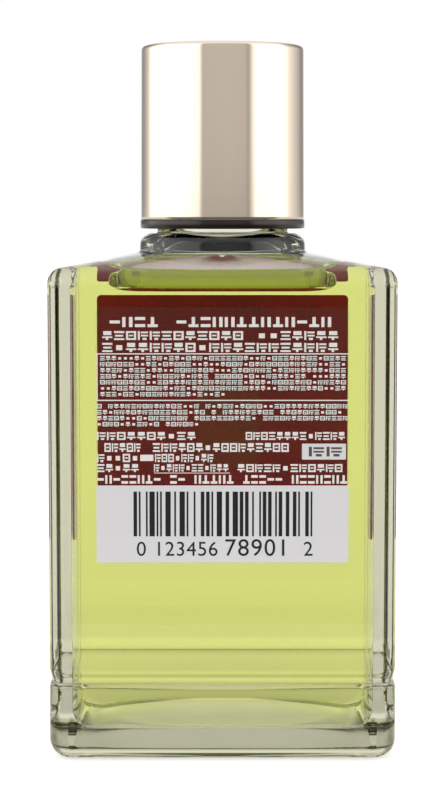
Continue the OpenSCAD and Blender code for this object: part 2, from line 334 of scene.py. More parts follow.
def ramp(tree, value, stops):
    """A ramp of colours or greys over value, from (place, colour or grey) stops."""
    node = add_node(tree, "ValToRGB", {"Fac": value})
    points = node.color_ramp.elements
    while len(points) < len(stops):
        points.new(0.5)
    for point, (place, colour) in zip(points, stops):
        point.position = place
        point.color = colour if isinstance(colour, tuple) else (colour, colour, colour, 1)
    return node.outputs["Color"]


def vary_roughness(tree, shader, scale_mm, low, high, stretch=(1, 1, 1)):
    """Roughness that drifts between two values, as handling and mould polish leave it."""
    fac = noise(tree, scale_mm, 3.0, stretch)
    spread = add_node(tree, "MapRange", {
        "Value": fac, "From Min": 0.3, "From Max": 0.7, "To Min": low, "To Max": high,
    })
    tree.links.new(spread.outputs[0], shader.inputs["Roughness"])


def bump(tree, shader, height, distance_mm, strength=1.0):
    """Fine relief of this depth on the surface."""
    node = add_node(tree, "Bump", {
        "Height": height, "Distance": distance_mm * MM, "Strength": strength,
    })
    tree.links.new(node.outputs[0], shader.inputs["Normal"])


def face_value(tree, name):
    """The number that mark_faces stored on each face."""
    return add_node(tree, "Attribute", attribute_name=name, attribute_type="GEOMETRY").outputs["Fac"]


def make_flint_glass():
    """Pressed flint glass, fire-polished outside, with a faint ripple; the underside is stippled.

    Real flint glass is nearly colourless. The olive absorption is a painted reflection: it stands for
    the lotion's colour that uneven corners of a real cavity reflect into the walls.
    """
    material, tree, shader = principled(
        "pressed_flint_glass", Base_Color=(1, 1, 1, 1), Transmission_Weight=1.0)
    index = math_node(tree, "MULTIPLY_ADD", face_value(tree, "wetted"), WETTED_IOR - GLASS_IOR, GLASS_IOR)
    tree.links.new(index, shader.inputs["IOR"])
    rough = math_node(tree, "MULTIPLY", face_value(tree, "stippled"), 0.3)
    tree.links.new(rough, shader.inputs["Roughness"])
    bump(tree, shader, noise(tree, 14, 1.0), 0.03, 0.5)
    # Painted reflection: olive absorption in the glass stands in for the lotion's colour reflected into the
    # walls
    volume = add_node(tree, "VolumeAbsorption", {"Color": (0.55, 0.54, 0.2, 1), "Density": 20.0})
    tree.links.new(volume.outputs[0], tree.nodes["Material Output"].inputs["Volume"])
    return material


def make_lotion():
    """Alcohol and water with a yellow dye: index 1.36, absorbs blue. Open only at its free surface."""
    material, tree, shader = principled(
        "yellow_lotion", Base_Color=(1, 1, 1, 1), Roughness=0.0, IOR=LOTION_IOR, Transmission_Weight=1.0)
    tree.links.new(face_value(tree, "free_surface"), shader.inputs["Alpha"])
    volume = add_node(tree, "VolumeAbsorption", {"Color": (0.84, 0.88, 0.05, 1), "Density": 40.0})
    tree.links.new(volume.outputs[0], tree.nodes["Material Output"].inputs["Volume"])
    return material


def make_plug_plastic():
    """Natural white polyethylene, injection moulded: soft gloss, faintly waxy."""
    material, tree, shader = principled(
        "moulded_polyethylene", Base_Color=rgb("#ECEBE4"), IOR=1.51, Subsurface_Weight=0.15,
        Subsurface_Scale=0.002)
    vary_roughness(tree, shader, 3, 0.32, 0.42)
    return material


def make_seal_foam():
    """Expanded polyethylene liner: matte, with fine closed cells."""
    material, tree, shader = principled("expanded_liner", Base_Color=rgb("#E2E0D8"), IOR=1.5)
    cells = add_node(tree, "TexVoronoi", {
        "Vector": add_node(tree, "TexCoord").outputs["Object"], "Scale": 2500.0})
    bump(tree, shader, cells.outputs["Distance"], 0.06)
    vary_roughness(tree, shader, 2, 0.6, 0.8)
    return material


def make_inner_cap_plastic():
    """Dark brown polypropylene, injection moulded and glossy."""
    material, tree, shader = principled(
        "moulded_brown_polypropylene", Base_Color=rgb("#1C0B07"), IOR=1.49)
    vary_roughness(tree, shader, 6, 0.10, 0.18)
    return material


def make_shell_metal():
    """Deep-drawn aluminium, anodised pale champagne, with drawing lines too fine to see singly."""
    material, tree, shader = principled(
        "anodised_drawn_aluminium", Base_Color=rgb("#E6D6C3"), Metallic=1.0)
    vary_roughness(tree, shader, 9, 0.09, 0.15, (1, 1, 6))
    bump(tree, shader, noise(tree, 0.25, 2.0, (1, 1, 60)), 0.004, 0.6)
    return material


def make_label_face():
    """Printed face of the front label: burgundy ink on coated paper."""
    material, tree, shader = principled("burgundy_coated_paper", IOR=1.5)
    grain = noise(tree, 0.35, 4.0)
    colour = ramp(tree, grain, [(0.3, rgb("#4A1210")), (0.7, rgb("#551613"))])
    tree.links.new(colour, shader.inputs["Base Color"])
    vary_roughness(tree, shader, 4, 0.28, 0.4)
    bump(tree, shader, grain, 0.01)
    return material


def make_label_back():
    """Glued side of the front label, seen through the lotion: dark red with a bronze centre.

    Little light reaches it through the glass, so its red is brighter than the real paper's.
    """
    material, tree, shader = principled("glued_label_back", IOR=1.5, Roughness=0.6)
    cloud = noise(tree, 7, 3.0)
    colour = ramp(tree, cloud, [(0.3, rgb("#E40C04")), (0.7, rgb("#F61006"))])
    place = add_node(tree, "SeparateXYZ", {0: add_node(tree, "TexCoord").outputs["Object"]})
    across = math_node(tree, "MULTIPLY_ADD", place.outputs[0], 1 / 0.00635, -0.18)
    along = math_node(tree, "MULTIPLY_ADD", place.outputs[2], 1 / 0.0081, -6.95)
    away = math_node(tree, "MAXIMUM", math_node(tree, "ABSOLUTE", across), math_node(tree, "ABSOLUTE", along))
    patch = add_node(tree, "MapRange", {
        "Value": away, "From Min": 0.8, "From Max": 1.0, "To Min": 1.0, "To Max": 0.0}).outputs[0]
    colour = add_node(
        tree, "Mix", {"Factor": patch, 6: colour, 7: rgb("#DC5230")}, data_type="RGBA").outputs[2]
    tree.links.new(colour, shader.inputs["Base Color"])
    return material


def make_foil():
    """Hot-stamped pale gold foil."""
    material, tree, shader = principled(
        "hot_stamped_foil", Base_Color=rgb("#D8BC82"), Metallic=1.0)
    vary_roughness(tree, shader, 1.5, 0.18, 0.3)
    return material


def make_clear_film():
    """Clear polypropylene label film: index 1.49, a little less smooth than the glass."""
    return principled(
        "clear_label_film", Base_Color=(1, 1, 1, 1), Roughness=0.03, IOR=1.49, Transmission_Weight=1.0)[0]


def make_ink(name, code, rough=0.45):
    """Screen-printed ink: matt, with a slightly uneven film."""
    material, tree, shader = principled(name, Base_Color=rgb(code), IOR=1.5)
    vary_roughness(tree, shader, 0.8, rough - 0.06, rough + 0.06)
    return material


# ---------------------------------------------------------------- flask and lotion


def side_to_front(at_side, at_front):
    """A value per ring point that goes from the sides' to the front's by the corner angle's sine squared."""
    return at_side + (at_front - at_side) * TURN[:, 1] ** 2


def edge_turns(half, radius, to_r, rise):
    """Degrees that a rounding on top of a box turns before it runs straight to a circle, per ring point.

    From the rounding's centre the circle lies run inwards and rise upwards, and the turn is
    atan(run / rise) + asin(radius / distance).
    """
    run = half - radius - to_r
    return side_to_front(*np.degrees(np.arctan2(run, rise) + np.arcsin(radius / np.hypot(run, rise))))


def turned_rings(half, edge_r, radius, turns, z, shares):
    """Rings up a rounding of this radius that starts at height z, at shares of each point's turn."""
    t = np.radians(np.asarray(shares)[:, None] * turns)
    inset = radius * (1 - np.cos(t))
    corner = np.maximum(edge_r - inset, 0.4)
    return np.stack([
        STRAIGHT[:, 0] * (half[0] - inset - corner) + TURN[:, 0] * corner,
        STRAIGHT[:, 1] * (half[1] - inset - corner) + TURN[:, 1] * corner,
        z + radius * np.sin(t)], -1)


def throat_arc():
    """Fillet from the bore down to the funnel: it turns by 90 degrees less the funnel's slope."""
    slope = math.degrees(math.atan2(THROAT_Z - CEILING_Z, FUNNEL_R - BORE_R))
    middle_z = THROAT_Z + THROAT_FILLET * math.tan(math.radians((90 - slope) / 2))
    return arc(BORE_R + THROAT_FILLET, middle_z, THROAT_FILLET, 180, 270 - slope, 8)


def ceiling_rings(gap=0.0):
    """Rings from the throat over the ceiling and down to the walls, gap inside.

    Straight lines run from the throat to the walls' rounding, less sag * 4 u (1 - u) at a share u
    of the way. Towards the sides the ceiling starts lower and sags, to follow the shoulder outside.
    """
    throat = throat_arc()[-1] - gap
    radius, edge_r = CEILING_R, CAVITY_EDGE_R - gap
    turns = edge_turns(CAVITY_HALF, radius, throat[0], throat[1] - CEILING_Z + radius)
    turns = side_to_front(SIDE_CEILING_TURN, turns[TURN[:, 1] ** 2 > 0.99].mean())
    start = CEILING_Z - radius - gap - side_to_front(SIDE_CEILING_DROP, 0.0)
    edge = turned_rings(CAVITY_HALF - gap, edge_r, radius, turns, start, np.linspace(1, 0, 17))
    share = np.linspace(0, 1, 19)[:-1]
    over = blend_rings(round_rings([throat])[0], edge[0], share)
    over[..., 2] -= side_to_front(SIDE_CEILING_SAG, 0.0) * (4 * share * (1 - share))[:, None]
    wall = inset_rings(CAVITY_HALF - gap, edge_r, 0.0, WALL_TOP_Z)
    return np.concatenate([over, edge, wall])


def pocket_distance(points):
    """Distance outside the air pocket's plan, a rounded box; negative inside it."""
    q = np.abs(points[..., :2]) - POCKET_HALF + POCKET_R
    outside = np.hypot(*np.moveaxis(np.maximum(q, 0), -1, 0))
    return outside + np.minimum(q.max(-1), 0) - POCKET_R


def contact_rows():
    """Row of the ceiling's rings at which the lotion's edge stands, as a fraction, per ring point."""
    d = pocket_distance(ceiling_rings())
    before = (d < 0).sum(0) - 1
    low = np.take_along_axis(d, before[None], 0)[0]
    high = np.take_along_axis(d, before[None] + 1, 0)[0]
    return before + low / (low - high)


def rings_at(rings, rows):
    """Rings at fractional rows, one for each ring point, by straight blending of the two next to it."""
    before = np.clip(np.floor(rows).astype(int), 0, len(rings) - 2)
    share = (rows - before)[..., None]
    low = np.take_along_axis(rings, before[..., None], 0)
    high = np.take_along_axis(rings, before[..., None] + 1, 0)
    return low * (1 - share) + high * share


def wetted_rings(gap=0.0):
    """Rings of the cavity below the contact line: ceiling, walls and floor. gap moves them in."""
    half, edge_r = CAVITY_HALF - gap, CAVITY_EDGE_R - gap
    ceiling = ceiling_rings(gap)
    contact = contact_rows()
    rows = contact + (len(ceiling) - 1 - contact) * np.linspace(0, 1, 25)[:, None]
    top = rings_at(ceiling, rows)
    walls = inset_rings(half, edge_r, 0.0, np.linspace(WALL_TOP_Z, FLOOR_Z + FLOOR_R, 16)[1:-1])
    a = np.radians(np.linspace(90, 0, 11))
    heel = inset_rings(half, edge_r, FLOOR_R * (1 - np.sin(a)), FLOOR_Z + gap + FLOOR_R * (1 - np.cos(a)))
    s = np.array([0.96, 0.88, 0.76, 0.6, 0.44, 0.28, 0.12])
    rim = CAVITY_HALF - gap - FLOOR_R
    floor = box_rings(
        rim[0] * s, rim[1] * s, 0.6 * s + rim[1] * s * (1 - s), FLOOR_Z + gap + FLOOR_RISE * (1 - s * s))
    return np.concatenate([top, walls, heel, floor])


def floor_pole(gap=0.0):
    """Top of the floor's dome."""
    return (0, 0, FLOOR_Z + FLOOR_RISE + gap)


def thread_ridge(z, a, start_z, turns, depth):
    """Height of a helical ridge of this depth at angle a and height z.

    Its crest is at z = start_z + pitch * t, where t counts turns, and its profile is a smooth
    step over 0.9 mm a side. It fades in and out over a sixth of a turn.
    """
    t = a / (2 * np.pi) + np.round((z - start_z) / THREAD_PITCH - a / (2 * np.pi))
    away = np.abs(z - start_z - THREAD_PITCH * t)
    fade = smooth_step(t * 6) * smooth_step((turns - t) * 6)
    return depth * smooth_step(1.35 * (1 - away / 0.95)) * fade


def flask_outside_rings():
    """Rings of the flask from its hollow underside up to the neck's root."""
    hollow = FLASK_HALF - HEEL_R - STAND_W
    s = np.array([0.1, 0.3, 0.5, 0.7, 0.84, 0.93, 0.97, 1.0])
    punt = box_rings(hollow[0] * s, hollow[1] * s, EDGE_R * s, PUNT_H * (1 - s ** 24))
    punt[..., 2] *= 1 - np.abs(punt[..., 0] / hollow[0]) ** 4
    a = np.radians(np.linspace(0, 90, 11))
    heel = inset_rings(FLASK_HALF, EDGE_R, HEEL_R * (1 - np.sin(a)), HEEL_R * (1 - np.cos(a)))
    u = np.concatenate([np.linspace(-1, 0, 13)[:-1], np.linspace(0, 1, 13)])
    groove = inset_rings(
        FLASK_HALF, EDGE_R, GROOVE_DEPTH * np.where(u < 0, (1 + u) ** 3, (1 + np.cos(np.pi * u)) / 2),
        GROOVE_DEEP_Z + np.where(u < 0, u * GROOVE_DOWN, u * GROOVE_UP))
    side = inset_rings(FLASK_HALF, EDGE_R, 0.0, np.linspace(GROOVE_DEEP_Z + GROOVE_UP + 1, SIDE_H - 0.4, 8))
    foot_r, foot_z = PEDESTAL_R + FOOT_FILLET, FOOT_Z - 0.2
    turns = edge_turns(FLASK_HALF, SHOULDER_R, foot_r, foot_z - SIDE_H)
    shoulder = turned_rings(FLASK_HALF, EDGE_R, SHOULDER_R, turns, SIDE_H, np.linspace(0, 1, 14))
    foot = round_rings([[foot_r, foot_z]])
    slope = blend_rings(shoulder[-1], foot, np.array([0.06, 0.15, 0.3, 0.5, 0.7, 0.85, 0.95]))
    return np.concatenate([punt, heel, groove, side, shoulder, slope])


def pedestal_and_neck_rings():
    """Turned rings: fillet, pedestal, bead, threaded neck, mouth, bore and throat."""
    low = FOOT_Z - 0.2
    bead_r = NECK_R + THREAD_DEPTH
    root_z = PEDESTAL_Z + BEAD_H
    neck_z = np.arange(root_z, MOUTH_Z - 0.9, 0.16)
    neck = np.stack([np.full(len(neck_z), NECK_R), neck_z], -1)
    outer = round_rings(chain(
        arc(PEDESTAL_R + FOOT_FILLET, low + FOOT_FILLET, FOOT_FILLET, 270, 180),
        arc(PEDESTAL_R - PEDESTAL_EDGE_R, PEDESTAL_Z - PEDESTAL_EDGE_R, PEDESTAL_EDGE_R, 0, 90, 14),
        arc(bead_r + 0.3, PEDESTAL_Z + 0.3, 0.3, 270, 180, 4),
        (bead_r, root_z - 0.75), (bead_r - 0.1, root_z - 0.55), (NECK_R + 0.1, root_z - 0.05),
        neck,
        arc(NECK_R - 0.8, MOUTH_Z - 0.8, 0.8, 0, 90),
        arc(BORE_R + 0.3, MOUTH_Z - 0.3, 0.3, 90, 180, 4),
        (BORE_R, MOUTH_Z - 4), (BORE_R, MOUTH_Z - 9), (BORE_R, THROAT_Z + THROAT_FILLET + 1),
        throat_arc()[:-1],
    ))
    z = outer[..., 2]
    on_neck = (z > root_z) & (z < MOUTH_Z - 0.85) & (np.hypot(outer[..., 0], outer[..., 1]) > NECK_R - 0.05)
    ridge = np.where(on_neck, thread_ridge(z, ANGLE % (2 * np.pi), root_z + 1.9, THREAD_TURNS, 1.1), 0)
    scale = 1 + ridge / NECK_R
    outer[..., 0] *= scale
    outer[..., 1] *= scale
    return outer


def mark_faces(mesh, name, values):
    """Stores one number for each face."""
    mesh.attributes.new(name, "FLOAT", "FACE").data.foreach_set("value", values.astype(np.float32))


def make_flask(flint):
    """One closed surface: outside, neck, bore, dry ceiling, then the wetted cavity down to its floor."""
    outside = np.concatenate([flask_outside_rings(), pedestal_and_neck_rings()])
    dry = rings_at(ceiling_rings(), contact_rows() * np.linspace(0, 1, 31)[:-1, None])
    wet = wetted_rings()
    rings = np.concatenate([outside, dry, wet])
    mesh = skin("flask", rings, (0, 0, PUNT_H), floor_pole())
    count = rings.shape[1]
    wetted = np.zeros(len(mesh.polygons))
    wetted[(len(outside) + len(dry)) * count:] = 1
    wetted[-2 * count:-count] = 0
    mark_faces(mesh, "wetted", wetted)
    stippled = np.zeros(len(mesh.polygons))
    stippled[:8 * count] = 1
    stippled[-2 * count:-count] = 1
    mark_faces(mesh, "stippled", stippled)
    return new_piece("flask", mesh, "bottle", ["bottle_glass"], [flint])


def make_lotion_body(material):
    """Closed body of lotion, a hair inside the cavity, whose free surface climbs at its edge.

    At distance d from the glass the surface stands at level + rise * exp(-d / MENISCUS_W).
    """
    gap = 0.02
    walls = wetted_rings(gap)[::-1]
    edge = walls[-1]
    inwards = np.array([0.08, 0.2, 0.4, 0.7, 1.1, 1.6, 2.3, 3.2, 4.5, 6.5, 9, 12])[:, None, None]
    plan = edge[:, :2] * (1 - inwards / np.hypot(edge[:, :1], edge[:, 1:2]))
    rise = (edge[:, 2] - LEVEL_Z) * np.exp((pocket_distance(plan) - pocket_distance(edge)) / MENISCUS_W)
    surface = np.concatenate([plan, (LEVEL_Z + rise)[..., None]], -1)
    rings = np.concatenate([walls, surface])
    mesh = skin("lotion_body", rings, floor_pole(gap), (0, 0, LEVEL_Z))
    count = rings.shape[1]
    free = np.zeros(len(mesh.polygons))
    first = (len(walls) - 1) * count
    free[first:first + len(surface) * count] = 1
    free[-count:] = 1
    mark_faces(mesh, "free_surface", free)
    return new_piece("lotion_body", mesh, "bottle", ["lotion"], [material])


# ---------------------------------------------------------------- plug, seal and cap


def lathe(name, profile, segments=144, ridge=None):
    """A closed solid of revolution between two points on the axis; ridge(r, z, a) is added to r."""
    profile = np.asarray(profile, float)
    a = np.arange(segments) * 2 * np.pi / segments
    r = np.repeat(profile[1:-1, :1], segments, axis=1)
    z = np.repeat(profile[1:-1, 1:], segments, axis=1)
    if ridge is not None:
        r = r + ridge(r, z, a)
    rings = np.stack([r * np.cos(a), r * np.sin(a), z], -1)
    return skin(name, rings, (0, 0, profile[0, 1]), (0, 0, profile[-1, 1]))


def make_plug(material):
    """Pour plug: flange on the mouth, ribbed barrel in the bore, floor with a spout round its hole."""
    top, low = PLUG_HIGH[2], PLUG_LOW[2]
    flange_r, wall_r, hole_r, spout_r = PLUG_HIGH[0], PLUG_R - 1.0, 3.0, 3.8
    floor_z = top - 3.0
    ribs = [arc(PLUG_R - 0.05, low + z, 0.17, -60, 60, 6) for z in (1.6, 3.6)]
    profile = chain(
        (hole_r, floor_z - 0.9), arc(wall_r - 0.25, floor_z - 1.15, 0.25, 90, 0, 4),
        (wall_r, low), (PLUG_R - 0.4, low), (PLUG_R, low + 0.8), ribs[0], ribs[1],
        (PLUG_R, MOUTH_Z), arc(flange_r - 0.15, MOUTH_Z + 0.15, 0.15, -90, 0, 3),
        arc(flange_r - 0.3, top - 0.3, 0.3, 0, 90, 5), arc(wall_r + 0.3, top - 0.3, 0.3, 90, 180, 5),
        arc(wall_r - 0.3, floor_z + 0.3, 0.3, 0, -90, 4), arc(spout_r + 0.4, floor_z + 0.4, 0.4, 270, 180, 4),
        arc(spout_r - 0.2, top - 0.6, 0.2, 0, 90, 4), arc(hole_r + 0.15, top - 0.55, 0.15, 90, 180, 4),
    )
    mesh = turned("plug", profile)
    return new_piece("plug", mesh, "bottle", ["pour_plug"], [material])


def make_seal(material):
    """Sealing disc with softly cut edges."""
    r, low, high = SEAL_HIGH[0], SEAL_LOW[2], SEAL_HIGH[2]
    profile = chain(
        (0, low), (r * 0.5, low), arc(r - 0.15, low + 0.15, 0.15, -90, 0, 4),
        arc(r - 0.15, high - 0.15, 0.15, 0, 90, 4), (r * 0.5, high), (0, high))
    return new_piece("seal", lathe("seal", profile), "seal", ["cap_seal_disc"], [material])


def make_inner_cap(material):
    """Inner cap: plate, threaded sleeve, flange that shows under the shell, and crown."""
    low, top = INNER_LOW[2], INNER_HIGH[2]
    under, flange_top = SEAL_HIGH[2], SHELL_LOW[2]
    crown_r = CORE_R - SHELL_DRAFT
    bore_z = np.arange(under - 0.4, low + 0.7, -0.16)
    bore = np.stack([np.full(len(bore_z), SLEEVE_R), bore_z], -1)
    profile = chain(
        (0, under), (SLEEVE_R * 0.5, under), arc(SLEEVE_R - 0.3, under - 0.3, 0.3, 90, 0, 4), bore,
        (SLEEVE_R, low + 0.6), (SLEEVE_R + 0.35, low + 0.1), (SLEEVE_R + 0.5, low),
        arc(FLANGE_R - 0.3, low + 0.3, 0.3, -90, 0, 6),
        arc(FLANGE_R - 0.2, flange_top - 0.2, 0.2, 0, 90, 5),
        (CORE_R + 0.1, flange_top), (CORE_R, flange_top + 0.1), (crown_r, top - 0.4), (crown_r - 0.4, top),
        (crown_r - CROWN_WALL, top), (crown_r - CROWN_WALL, under + PLATE_T + 0.4),
        (crown_r - CROWN_WALL - 0.4, under + PLATE_T), (SLEEVE_R * 0.5, under + PLATE_T),
        (0, under + PLATE_T),
    )

    def ridge(r, z, a):
        """The internal thread, half a pitch from the neck's, on the sleeve's bore alone."""
        on_bore = (np.abs(r - SLEEVE_R) < 0.01) & (z < under - 0.35)
        start = MOUTH_Z - 11.6 + 1.9 + THREAD_PITCH / 2
        return np.where(on_bore, -thread_ridge(z, a, start, THREAD_TURNS, 1.0), 0)

    mesh = lathe("inner_cap", profile, ridge=ridge)
    return new_piece("inner_cap", mesh, "cap", ["cap_inner"], [material])


def make_crown_webs(material):
    """Six upright webs that brace the crown under the shell's top."""
    reach = CORE_R - SHELL_DRAFT - CROWN_WALL / 2
    low, high = SEAL_HIGH[2] + PLATE_T, INNER_HIGH[2]
    corners = [(x, y, z) for z in (low, high) for y in (-0.5, 0.5) for x in (0, reach)]
    x, y, z = np.array(corners).T
    turn = np.radians(60 * np.arange(6))[:, None]
    points = np.stack([
        x * np.cos(turn) - y * np.sin(turn), x * np.sin(turn) + y * np.cos(turn),
        np.broadcast_to(z, (6, 8))], -1).reshape(-1, 3)
    faces = (BOX_FACES[None] + 8 * np.arange(6)[:, None, None]).reshape(-1, 4).tolist()
    mesh = build_mesh("crown_webs", points, faces, smooth=False)
    return new_piece("crown_webs", mesh, "cap", (), [material])


def make_shell(material):
    """Drawn metal cup over the inner cap, with a softly rounded top edge and a curled lower rim."""
    low, top = SHELL_LOW[2], SHELL_HIGH[2]
    r, top_r = SHELL_R, SHELL_R - SHELL_DRAFT
    inner_r = SHELL_EDGE_R - SHELL_T
    side_z = np.linspace(0.6, SHELL_H - SHELL_EDGE_R - 0.4, 8)
    side = np.stack([r - SHELL_DRAFT * side_z / SHELL_H, low + side_z], -1)
    profile = chain(
        (0, top - SHELL_T), (5, top - SHELL_T), (top_r - 2, top - SHELL_T),
        arc(top_r - SHELL_T - inner_r, top - SHELL_T - inner_r, inner_r, 90, 0, 5),
        (r - SHELL_T, low + 0.4), arc(r - SHELL_T + 0.12, low + 0.12, 0.12, 180, 270, 4),
        arc(r - 0.18, low + 0.18, 0.18, -90, 0, 5), side,
        arc(top_r - SHELL_EDGE_R, top - SHELL_EDGE_R, SHELL_EDGE_R, 0, 90, 12),
        (top_r - SHELL_EDGE_R - 0.4, top), (top_r * 0.6, top), (top_r * 0.3, top), (0, top),
    )
    return new_piece("shell", lathe("shell", profile), "cap", ["cap_shell"], [material])


# ---------------------------------------------------------------- labels and their print


def sheet(name, low, high, radius, thick_from, thick_to, side_slots=None):
    """A thin sheet in the XZ plane with rounded corners, from y = thick_from to thick_to."""
    centre = (low + high) / 2
    half = (high - low) / 2
    a = np.radians(np.linspace(0, 90, 9))
    outline = []
    for k, (sx, sz) in enumerate([(1, 1), (-1, 1), (-1, -1), (1, -1)]):
        t = a + k * np.pi / 2
        outline.append(np.stack([
            centre[0] + sx * (half[0] - radius) + radius * np.cos(t),
            centre[1] + sz * (half[1] - radius) + radius * np.sin(t)], -1))
    outline = np.vstack(outline)
    n = len(outline)
    points = np.vstack([
        np.insert(outline, 1, thick_from, axis=1), np.insert(outline, 1, thick_to, axis=1)])
    front = list(range(n))
    back = list(range(2 * n - 1, n - 1, -1))
    edges = [[(i + 1) % n, i, n + i, n + (i + 1) % n] for i in range(n)]
    mesh = build_mesh(name, points, [front, back] + edges, side_slots, smooth=False)
    return mesh


def frame_bars(low, high, width):
    """Low and high corners (x, z) of the four bars of a rectangular frame of this width."""
    (x0, z0), (x1, z1) = low, high
    return [
        ((x0, z0), (x1, z0 + width)), ((x0, z1 - width), (x1, z1)),
        ((x0, z0 + width), (x0 + width, z1 - width)), ((x1 - width, z0 + width), (x1, z1 - width)),
    ]


# Strokes of five placeholder marks on a unit square, each as x0, z0, x1, z1. None is a letter:
# two bars, a window, a block over a bar, a post with bars, and a small square.
MARKS = [
    [(0.0, 0.78, 1.0, 1.0), (0.1, 0.38, 0.9, 0.58), (0.0, 0.0, 1.0, 0.2)],
    [
        (0.0, 0.8, 1.0, 1.0), (0.0, 0.0, 1.0, 0.2), (0.0, 0.2, 0.22, 0.8), (0.78, 0.2, 1.0, 0.8),
        (0.3, 0.42, 0.7, 0.58),
    ],
    [(0.1, 0.55, 0.9, 1.0), (0.0, 0.22, 1.0, 0.4), (0.35, 0.0, 0.6, 0.22)],
    [(0.0, 0.0, 0.2, 1.0), (0.3, 0.75, 1.0, 0.95), (0.3, 0.4, 1.0, 0.58), (0.45, 0.0, 0.85, 0.25)],
    [(0.2, 0.2, 0.8, 0.75)],
]
BOLD_MARKS = [
    [(0.0, 0.7, 0.95, 1.0), (0.0, 0.0, 0.95, 0.3)],
    [(0.0, 0.0, 0.3, 1.0), (0.62, 0.0, 0.95, 1.0)],
    [(0.0, 0.36, 0.95, 0.66)],
    [(0.0, 0.0, 0.95, 0.28), (0.3, 0.28, 0.62, 1.0)],
]


def mark_row(left, right, low, high, pitch, seed, marks=MARKS, skip=0.0):
    """Corners of the strokes of one row of placeholder marks, between left and right."""
    picked = np.random.default_rng(seed)
    size = high - low
    bars = []
    for x in np.arange(left, right - pitch * 0.6, pitch):
        if picked.random() < skip:
            continue
        strokes = marks[picked.integers(len(marks))]
        wide = pitch * 0.86
        for x0, z0, x1, z1 in strokes:
            bars.append(((x + x0 * wide, low + z0 * size), (x + x1 * wide, low + z1 * size)))
    return bars


def ink_on(name, bars, face_y, outward, thick, body, material):
    """Flat ink bars, given as (x, z) corners, that stand out from the plane y = face_y."""
    corners = np.array(bars)
    y0, y1 = sorted((face_y, face_y + outward * thick))
    low = np.insert(corners[:, 0], 1, y0, axis=1)
    high = np.insert(corners[:, 1], 1, y1, axis=1)
    return new_piece(name, slabs(name, low, high), body, (), [material])


def make_film_print(film, paper, white, black, brown):
    """The clear label, its rows of placeholder marks, and the white panel with bars and digits."""
    body, slot = "bottle", "label_film"
    low, high = FILM_LOW[[0, 2]], FILM_HIGH[[0, 2]]
    back = -FLASK_HALF[1] - AIR
    face = back - 0.05
    mesh = sheet("clear_film", low, high, 0.8, face, back)
    new_piece("clear_film", mesh, body, ["back_label_film"], [film])

    left, right = low[0] + 0.15, high[0] - 0.15
    top = high[1]
    bars = []
    # Heading and two lines under it: left, right, lower and upper edge, pitch
    for x0, x1, z0, z1, pitch, marks, skip in [
        (left + 2.3, -10.2, top - 3.35, top - 1.6, 2.2, BOLD_MARKS, 0.0),
        (-8.0, 19.8, top - 3.35, top - 1.6, 2.1, BOLD_MARKS, 0.0),
        (left + 1.0, right - 0.4, top - 5.6, top - 4.05, 2.07, MARKS, 0.02),
        (left + 1.0, 19.8, top - 7.7, top - 6.1, 2.07, MARKS, 0.02),
        (left, -4.3, 57.3, 58.7, 1.75, MARKS, 0.0),
        (2.7, right - 0.4, 57.3, 58.7, 1.35, MARKS, 0.06),
        (left, -13.9, 55.2, 56.75, 1.3, MARKS, 0.05),
        (-12.2, 12.3, 55.2, 56.75, 1.5, MARKS, 0.03),
        (left, -14.6, 53.4, 54.85, 1.5, MARKS, 0.0),
        (-11.8, -1.8, 53.4, 54.85, 1.15, MARKS, 0.05),
        (left, -13.9, 51.65, 53.05, 1.5, MARKS, 0.0),
        (-12.0, 1.2, 51.75, 53.05, 1.1, MARKS, 0.1),
        (2.6, right - 0.2, 51.65, 53.05, 1.55, MARKS, 0.0),
        (left, right, 49.6, 51.1, 1.42, BOLD_MARKS, 0.12),
    ]:
        bars += mark_row(x0, x1, z0, z1, pitch, len(bars), marks, skip)
    # Two blocks of small print
    for row in range(7):
        z1 = 72.0 - 1.05 * row
        bars += mark_row(left + 0.6, 0.4 if row == 6 else right, z1 - 0.76, z1, 1.0, 100 + row, MARKS, 0.03)
    for row in range(4):
        z1 = 63.6 - 1.05 * row
        bars += mark_row(left, -4.3 if row == 3 else right, z1 - 0.76, z1, 1.0, 200 + row, MARKS, 0.04)
    # Rules, the lozenge and the underline
    bars += [
        ((left, 72.28), (right, 72.48)), ((left, 64.14), (right, 64.34)),
        ((left, 64.34), (left + 0.18, 72.28)), ((-14.4, 53.6), (-12.1, 54.7)),
        ((-12.0, 51.42), (1.3, 51.54)),
    ]
    ink_on("white_print", bars, face, -1, INK, body, white)

    # White panel, with plain bars of no code under it, and a small box beside the small print
    panel_low, panel_high = np.array([low[0], 35.65]), np.array([high[0], 49.28])
    panel = sheet("white_panel", panel_low, panel_high, 0.3, face - 0.02, face)
    new_piece("white_panel", panel, body, (), [paper])
    box = sheet("small_panel", np.array([13.9, 53.85]), np.array([21.6, 56.65]), 0.15, face - 0.02, face)
    new_piece("small_panel", box, body, (), [paper])
    marks = mark_row(15.1, 21.2, 54.4, 56.1, 3.1, 7, [MARKS[1], MARKS[3]])
    ink_on("small_panel_marks", marks, face - 0.02, -1, 0.015, body, brown)

    widths = np.random.default_rng(19).choice([1, 1, 1, 2, 2, 3], 59)
    edges = np.concatenate([[0], np.cumsum(widths)]) / widths.sum() * 31.35 - 15.6
    bars = [((edges[i], 40.3), (edges[i + 1], 48.2)) for i in range(0, 59, 2)]
    ink_on("bars", bars, face - 0.02, -1, 0.015, body, black)

    for i, (text, x, size, pitch) in enumerate([
        ("0", -15.2, 2.45, 1.9), ("123456", -12.1, 2.45, 1.9), ("78901", 0.2, 2.9, 2.32),
        ("2", 14.1, 2.45, 1.9),
    ]):
        make_digits(f"digits_{i}", text, x, 36.85, size, pitch, face - 0.02, black)


